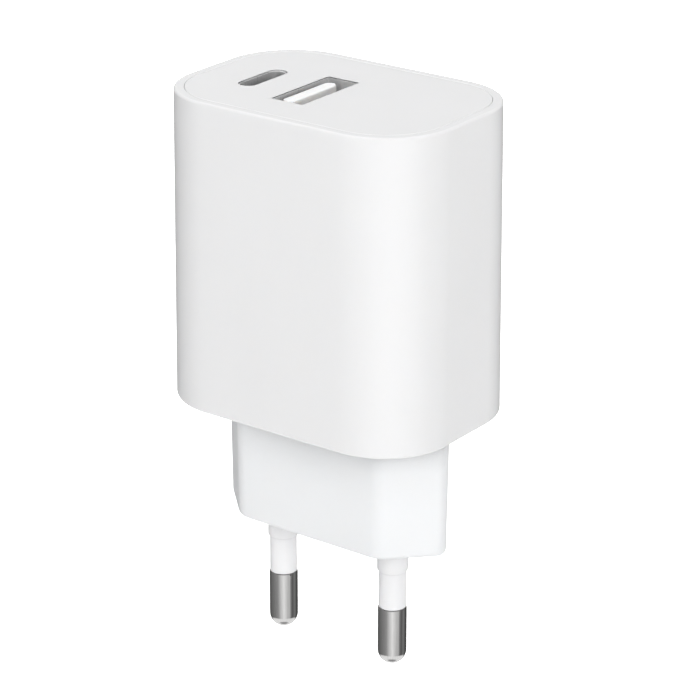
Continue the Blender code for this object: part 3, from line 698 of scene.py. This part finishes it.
def sleeve(side, name):
    """The moulded sleeve: a collar, a rounded step and a thinner tube down to the bare metal."""
    bore, soft, end, seat = CORE_RADIUS + CORE_PLAY, 0.1, 0.06, FACE_THICKNESS + 0.1
    profile = [(bore, SLEEVE_FLANGE_TOP), (SLEEVE_FLANGE_RADIUS, SLEEVE_FLANGE_TOP)]
    profile += [(SLEEVE_FLANGE_RADIUS, seat), (COLLAR_RADIUS, seat)]
    profile += fillet(
        (COLLAR_RADIUS, soft - COLLAR_LENGTH),
        (COLLAR_RADIUS - soft, -COLLAR_LENGTH),
        (COLLAR_RADIUS, -COLLAR_LENGTH),
        4,
    )
    profile += fillet(
        (SLEEVE_RADIUS + soft, -COLLAR_LENGTH),
        (SLEEVE_RADIUS, -COLLAR_LENGTH - soft),
        (SLEEVE_RADIUS, -COLLAR_LENGTH),
        4,
    )
    profile += [(SLEEVE_RADIUS, SLEEVE_END + end), (SLEEVE_RADIUS - end, SLEEVE_END)]
    profile.append((bore, SLEEVE_END))
    made = turned(f"sleeve_{name}", profile, side * PIN_X, ring=True)
    return show(made, "sleeve_white", [f"pin_sleeve_{name}"])


# ---------------------------------------------------------------- ports


def usb_a_shell():
    """The receptacle's folded sheet-metal tube, a little proud of the panel's mouth below its lip."""
    low, high, soft, proud = USB_A_LOW.z + SHELL_FOOT, TOP - LIP - LIP_GAP, 0.06, 0.04
    path = [(SHEET, low)] + fillet((SHEET, high - soft), (SHEET - soft, high), (SHEET, high), 3)
    path += fillet((soft, high), (0, high - soft), (0, high), 3) + [(0, low)]
    half_x, half_y = (half - proud for half in USB_A_HALF)
    corner = USB_A_CORNER - 0.05
    rings = [rounded_ring(half_x + out, half_y + out, corner + out, z, USB_A_AT, 6) for out, z in path]
    shell = place("usb_a_can", loft(bmesh.new(), rings, closed=True))
    return show(shell, "shell_steel", ["usb_a_shell"])


def usb_a_tongue():
    """The white moulding: a base across the shell and the upright tongue with its grooves."""
    low, high = box_mm("usb_a_insulator")
    high.z -= 0.1  # the drawn tongue ends a little below the CAD one
    middle = (USB_A_AT[0] - USB_A_HALF[0] + TONGUE_INSET + TONGUE_THICKNESS / 2, USB_A_AT[1])
    front = middle[0] + TONGUE_THICKNESS / 2

    def outline(inset, z):
        """The tongue's outline, with its four corners cut off at 45 degrees."""
        x, y = TONGUE_THICKNESS / 2 - inset, TONGUE_WIDTH / 2 - inset
        slope = TONGUE_CUT - inset * (2 - math.sqrt(2))
        corners = [(x, slope - y), (x, y - slope), (x - slope, y), (slope - x, y)]
        corners += [(-cx, -cy) for cx, cy in corners]
        ring = filleted(corners, [TONGUE_SOFT] * len(corners), z, 3)
        return [(middle[0] + px, middle[1] + py, pz) for px, py, pz in ring]

    foot = low.z + 1  # inside the base
    path = [(0, foot), (0, high.z - TONGUE_TIP)]
    path += fillet((0, high.z - TONGUE_TIP), (TONGUE_TIP, high.z), (0, high.z), 5)[1:]
    rings = [outline(inset, z) for inset, z in path]
    tongue = place("usb_a_tongue", loft(bmesh.new(), rings, caps=(True, True)))
    base_span = ((low.x, low.y, low.z), (high.x, high.y, low.z + TONGUE_BASE))
    base = place("usb_a_base", box_mesh(bmesh.new(), *base_span, edge=0.1))
    union = tongue.modifiers.new("base", "BOOLEAN")
    union.operation = "UNION"
    union.object = base
    cutters = []
    for number in CONTACT_NUMBERS:
        contact_low, contact_high = box_mm(f"usb_a_contact_{number}")
        root_z = frame["joints"][number - 1]["pos_m"][2] / MM
        span = (
            (front - GROOVE_DEPTH, contact_low.y - GROOVE_PLAY, root_z - GROOVE_FOOT),
            (front + 1, contact_high.y + GROOVE_PLAY, high.z - GROOVE_TOP),
        )
        cutters.append(place(f"groove_{number}", box_mesh(bmesh.new(), *span)))
    bake(tongue, *cutters)
    bpy.data.objects.remove(base, do_unlink=True)
    return show(tongue, "tongue_white", ["usb_a_insulator"])


def smooth_path(points, steps=6):
    """A curve through the points, finer by steps."""
    points = [Vector(p) for p in points]
    ends = [2 * points[0] - points[1], 2 * points[-1] - points[-2]]
    padded = [ends[0]] + points + [ends[1]]
    path = []
    for a, b, c, d in zip(padded, padded[1:], padded[2:], padded[3:]):
        for step in range(steps):
            t = step / steps
            path.append(
                0.5 * (2 * b + (c - a) * t + (2 * a - 5 * b + 4 * c - d) * t**2
                       + (3 * b - a - 3 * c + d) * t**3)
            )
    return path + [points[-1]]


def contact(number):
    """A sprung leaf of even thickness that bows out of the tongue."""
    low, high = box_mm(f"usb_a_contact_{number}")
    joint = frame["joints"][number - 1]
    root_x, middle_y, root_z = (value / MM for value in joint["pos_m"])
    half_width, half_sheet, soft = (high.y - low.y) / 2, CONTACT_SHEET / 2, 0.05
    path = smooth_path(CONTACT_BOW)
    rings = []
    for i, point in enumerate(path):
        ahead = path[min(i + 1, len(path) - 1)] - path[max(i - 1, 0)]
        out = Vector((ahead.y, -ahead.x)).normalized()
        ring = []
        for across, through in (
            (-half_width, -half_sheet + soft), (-half_width + soft, -half_sheet),
            (half_width - soft, -half_sheet), (half_width, -half_sheet + soft),
            (half_width, half_sheet - soft), (half_width - soft, half_sheet),
            (-half_width + soft, half_sheet), (-half_width, half_sheet - soft),
        ):
            x = root_x + point.x + out.x * through
            z = root_z + point.y + out.y * through
            ring.append((x, middle_y + across, z))
        rings.append(ring)
    leaf = place(f"contact_leaf_{number}", loft(bmesh.new(), rings, caps=(True, True)))
    return show(leaf, "contact_gold", [f"usb_a_contact_{number}"], f"contact_{number}")


def usb_c_shell():
    """The drawn seamless shell with a rolled lip."""
    low, high, roll = USB_C_LOW.z + SHELL_FOOT, TOP - LIP - LIP_GAP, USB_C_RIM * 0.4
    path = [(0, low)] + fillet((0, high - roll), (roll, high), (0, high), 4)
    path += fillet((USB_C_RIM - roll, high), (USB_C_RIM, high - roll), (USB_C_RIM, high), 4)
    path.append((USB_C_RIM, low))
    proud = 0.05
    rings = [usb_c_ring(out - proud, z) for out, z in path]
    shell = place("usb_c_can", loft(bmesh.new(), rings, closed=True))
    return show(shell, "shell_steel", ["usb_c_shell"])


def usb_c_tongue():
    """The blade in the middle of the port, standing on its moulded base, and its gold pads."""
    low = box_mm("usb_c_tongue")[0]
    x, y = USB_C_AT
    half_thickness, half_width = USB_C_HALF_BLADE
    tip = TOP - USB_C_BLADE_TOP
    blade_span = (
        (x - half_thickness, y - half_width, low.z + 2),
        (x + half_thickness, y + half_width, tip),
    )
    blade = place("usb_c_blade", box_mesh(bmesh.new(), *blade_span, edge=0.15, segments=3))
    base_high = low.z + USB_C_BASE
    rings = [usb_c_ring(-0.1, z, 12) for z in (low.z, base_high)]
    base = place("usb_c_base", loft(bmesh.new(), rings, caps=(True, True)))
    union = blade.modifiers.new("base", "BOOLEAN")
    union.operation = "UNION"
    union.object = base
    bake(blade)
    bpy.data.objects.remove(base, do_unlink=True)
    show(blade, "dark_plastic", ["usb_c_tongue"])
    spans = []
    for side in (-1, 1):
        face = x + side * half_thickness
        for i in range(USB_C_PADS):
            pad_y = y + (i - (USB_C_PADS - 1) / 2) * PAD_PITCH
            back, front = sorted((face - side * PAD_SUNK, face + side * PAD_PROUD))
            pad_low = (back, pad_y - PAD_HALF_WIDTH, base_high + PAD_FOOT)
            spans.append((pad_low, (front, pad_y + PAD_HALF_WIDTH, tip - PAD_TOP)))
    return show(boxes("usb_c_pads", spans, 0.015, 1), "contact_gold", [])


casing()
panel()
nose()
for side, name in ((-1, "left"), (1, "right")):
    pin(side, name)
    sleeve(side, name)
usb_a_shell()
usb_a_tongue()
for number in CONTACT_NUMBERS:
    contact(number)
usb_c_shell()
usb_c_tongue()

# ---------------------------------------------------------------- floor, light and camera

SCENE = bpy.context.scene
CAMERA_AZIMUTH, CAMERA_ELEVATION, CAMERA_DISTANCE = 36.7258, 21.8227, 391.79

# What polished metal sees around it: (degrees to the right of the camera, brightness).
ROOM = (
    (-180, 0.15),
    (-130, 0.14),
    (-100, 0.22),
    (-64, 0.32),
    (-46, 0.40),
    (-28, 0.72),
    (0, 1.12),
    (18, 0.92),
    (34, 0.70),
    (50, 0.66),
    (59, 0.30),
    (76, 0.13),
    (97, 0.25),
    (111, 0.20),
    (126, 0.06),
    (150, 0.15),
)
ROOM_PEAK = 1.2
# Above and below that: (height where the change starts, and where it ends, brightness after it).
ROOM_HEIGHTS = ((-0.15, 0.2, 0.28), (0.55, 0.8, 1.0), (-0.6, -0.7, 1.1), (-0.93, -0.98, 0.4))


def floor():
    """A pale sweep that stays white to the camera, open from below and unseen in the metal."""
    half = 3000
    bm = bmesh.new()
    corners = [(-half, -half), (half, -half), (half, half), (-half, half)]
    bm.faces.new([bm.verts.new((x, y, PIN_TIP - 0.02)) for x, y in corners])
    sweep = place("floor", bm)
    n = Nodes("floor_white")
    grain = n.noise(0.05, 3.0)
    n.output(n.mix(grain, (0.78, 0.78, 0.78), (0.82, 0.82, 0.82)), 0.9)
    glow = n.add("ShaderNodeEmission")
    seen = n.add("ShaderNodeLightPath").outputs["Is Camera Ray"]
    n.wire(n.maths("MULTIPLY", seen, 0.9), glow.inputs["Strength"])
    both = n.add("ShaderNodeAddShader")
    n.wire(n.shader.outputs[0], both.inputs[0])
    n.wire(glow.outputs[0], both.inputs[1])
    side = n.add("ShaderNodeMixShader")
    n.wire(n.add("ShaderNodeNewGeometry").outputs["Backfacing"], side.inputs["Fac"])
    n.wire(both.outputs[0], side.inputs[1])
    n.wire(n.add("ShaderNodeBsdfTransparent").outputs[0], side.inputs[2])
    n.wire(side.outputs[0], n.tree.nodes["Material Output"].inputs["Surface"])
    sweep.data.materials.append(n.look)
    sweep.visible_glossy = False


def surroundings():
    """White to the camera, dark to diffuse rays, and a dim studio with a big front light to metal."""
    world = bpy.data.worlds.new("studio")
    SCENE.world = world
    world.use_nodes = True
    world.cycles.sampling_method = "NONE"
    tree = world.node_tree

    def add(kind, **settings):
        node = tree.nodes.new(kind)
        for key, value in settings.items():
            setattr(node, key, value)
        return node

    def put(node, values):
        for i, value in enumerate(values):
            if hasattr(value, "is_linked"):
                tree.links.new(value, node.inputs[i])
            else:
                node.inputs[i].default_value = value
        return node.outputs[0]

    def maths(operation, *values):
        return put(add("ShaderNodeMath", operation=operation), values)

    def ranged(value, *limits):
        return put(add("ShaderNodeMapRange"), (value, *limits))

    way = add("ShaderNodeTexCoord").outputs["Generated"]
    azimuth = math.radians(CAMERA_AZIMUTH)
    axes = ((math.cos(azimuth), math.sin(azimuth), 0), (math.sin(azimuth), -math.cos(azimuth), 0))
    parts = []
    for axis in axes:
        dot = add("ShaderNodeVectorMath", operation="DOT_PRODUCT")
        tree.links.new(way, dot.inputs[0])
        dot.inputs[1].default_value = axis
        parts.append(dot.outputs["Value"])
    turn = ranged(maths("ARCTAN2", *parts), -math.pi, math.pi, 0.0, 1.0)
    ramp = add("ShaderNodeValToRGB")
    elements = ramp.color_ramp.elements
    while len(elements) > 1:
        elements.remove(elements[-1])
    for i, (degrees, brightness) in enumerate(ROOM):
        place_on_ramp = (degrees + 180) / 360
        element = elements.new(place_on_ramp) if i else elements[0]
        element.position = place_on_ramp
        element.color = [brightness / ROOM_PEAK] * 3 + [1.0]
    tree.links.new(turn, ramp.inputs["Fac"])
    around = maths("MULTIPLY", ramp.outputs["Color"], ROOM_PEAK)
    split = add("ShaderNodeSeparateXYZ")
    tree.links.new(way, split.inputs[0])
    height = split.outputs["Z"]
    room = around
    for start, end, brightness in ROOM_HEIGHTS:
        share = ranged(height, start, end, 0.0, 1.0)
        room = maths("MULTIPLY_ADD", share, maths("SUBTRACT", brightness, room), room)
    path = add("ShaderNodeLightPath")
    seen = maths("MULTIPLY", path.outputs["Is Glossy Ray"], room)
    seen = maths("MULTIPLY_ADD", path.outputs["Is Camera Ray"], maths("SUBTRACT", 1.0, seen), seen)
    background = tree.nodes["Background"]
    background.inputs["Color"].default_value = (1, 1, 1, 1)
    tree.links.new(seen, background.inputs["Strength"])


TARGET = Vector((0, 0, 25.637)) * MM

SMALL, TALL, TOP_SIZE, BIG = (220, 200), (220, 260), (330, 330), (420, 500)
LAMP_DISTANCE = 600
# Each lamp: name, azimuth, elevation, size, brightness.
LAMPS = (
    ("front", 36.7, 4, SMALL, 1.8),
    ("front_right", 56.7, 22, SMALL, 2.6),
    ("front_left", 16.7, 22, SMALL, 0.75),
    ("left_high", 16.7, 45, TALL, 1.3),
    ("right_high", 56.7, 45, TALL, 0.3),
    ("side_high", 116.7, 45, TALL, 0.5),
    ("side_right", 156.7, 4, SMALL, 3.3),
    ("side_left", -63.3, 22, SMALL, 1.9),
    ("top", 216.7, 72, TOP_SIZE, 1.95),
    ("back_left", -113.3, 20, BIG, 0.45),
    ("back", 216.7, 20, BIG, 0.55),
)


def direction(azimuth, elevation):
    """The way from the object to a place at an azimuth, from -Y towards +X, and an elevation."""
    a, e = math.radians(azimuth), math.radians(elevation)
    return Vector((math.sin(a) * math.cos(e), -math.cos(a) * math.cos(e), math.sin(e)))


def facing(obj, towards):
    back = (obj.location - towards).normalized()
    obj.rotation_euler = back.to_track_quat("Z", "Y").to_euler()


def softbox(name, azimuth, elevation, size, radiance):
    """A rectangular soft light that looks at the object; its power follows from its radiance."""
    data = bpy.data.lights.new(name, "AREA")
    data.shape = "RECTANGLE"
    data.size, data.size_y = (side * MM for side in size)
    data.energy = radiance * math.pi * data.size * data.size_y * math.pi
    lamp = bpy.data.objects.new(name, data)
    lamp.location = TARGET + direction(azimuth, elevation) * LAMP_DISTANCE * MM
    facing(lamp, TARGET)
    lamp.visible_glossy = False
    SCENE.collection.objects.link(lamp)
    return lamp


def camera():
    data = bpy.data.cameras.new("camera")
    data.lens, data.sensor_width = 149.37, 36.0
    data.shift_x, data.shift_y = 0.01813, 0.0
    data.clip_start, data.clip_end = 0.01, 20
    view = bpy.data.objects.new("camera", data)
    view.location = TARGET + direction(CAMERA_AZIMUTH, CAMERA_ELEVATION) * CAMERA_DISTANCE * MM
    facing(view, TARGET)
    SCENE.collection.objects.link(view)
    SCENE.camera = view


SCENE.view_settings.view_transform = "Standard"
floor()
surroundings()
camera()
for lamp in LAMPS:
    softbox(*lamp)
